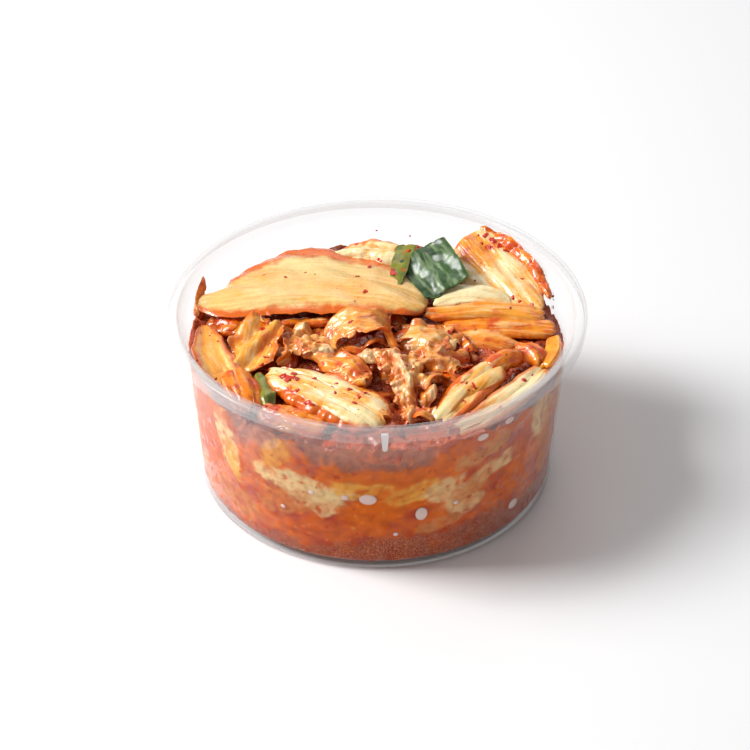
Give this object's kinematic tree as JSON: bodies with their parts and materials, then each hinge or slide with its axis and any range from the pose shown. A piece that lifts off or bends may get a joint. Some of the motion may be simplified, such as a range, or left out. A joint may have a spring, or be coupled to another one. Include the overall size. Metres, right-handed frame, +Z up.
{
  "type": "kimchi in a round tub",
  "caption": "Napa cabbage kimchi with leaves, stalks, scallion and carrot in its own liquid, filling an open round translucent plastic takeaway tub.",
  "frame": {"origin": "on the tub's axis, on the surface that its foot ring stands on", "axes": "+Z up along the tub's axis. The rib on the rim is at -Y, turned 9 degrees towards +X. The wide pale leaf lies towards -X and +Y."},
  "size_m": [0.118, 0.1183, 0.0538],
  "materials": {
    "polypropylene": "smooth translucent moulded polypropylene, thin-walled",
    "bed": "packed kimchi in orange-red brine",
    "pale": "wet pale yellow cabbage leaf",
    "white": "wet cream cabbage stem",
    "stained": "wet cabbage stained orange by chili",
    "ruffled": "wet frilled leaf edge, brownish orange",
    "green": "glossy dark green scallion leaf",
    "olive": "wet yellow-green leaf",
    "carrot": "wet orange carrot"
  },
  "bodies": {
    "root": {"tub": "polypropylene", "kimchi_bed": "bed", "stem_front_lip": "pale", "leaf_olive": "olive", "stem_left_yellow": "stained", "leaf_pale_right": "white", "stalk_right_lower": "stained", "stalk_right_upper": "stained", "stem_white_back": "white", "leaf_fan": "stained", "leaf_back_white": "white", "leaf_wide_pale": "pale", "scallion_strip": "olive", "scallion_square": "green", "leaf_left_inner": "pale", "stalk_left_wall": "pale", "leaf_ruffled_left": "ruffled", "leaf_membrane": "ruffled", "leaf_folded": "ruffled", "stem_front": "white", "leaf_yellow_front": "stained", "leaf_frilly": "ruffled", "leaf_curl": "ruffled", "stalk_right_lip": "white", "stalk_front_right": "pale", "leaf_roll": "stained", "leaf_knob": "pale", "carrot_strip": "carrot"}
  },
  "joints": []
}
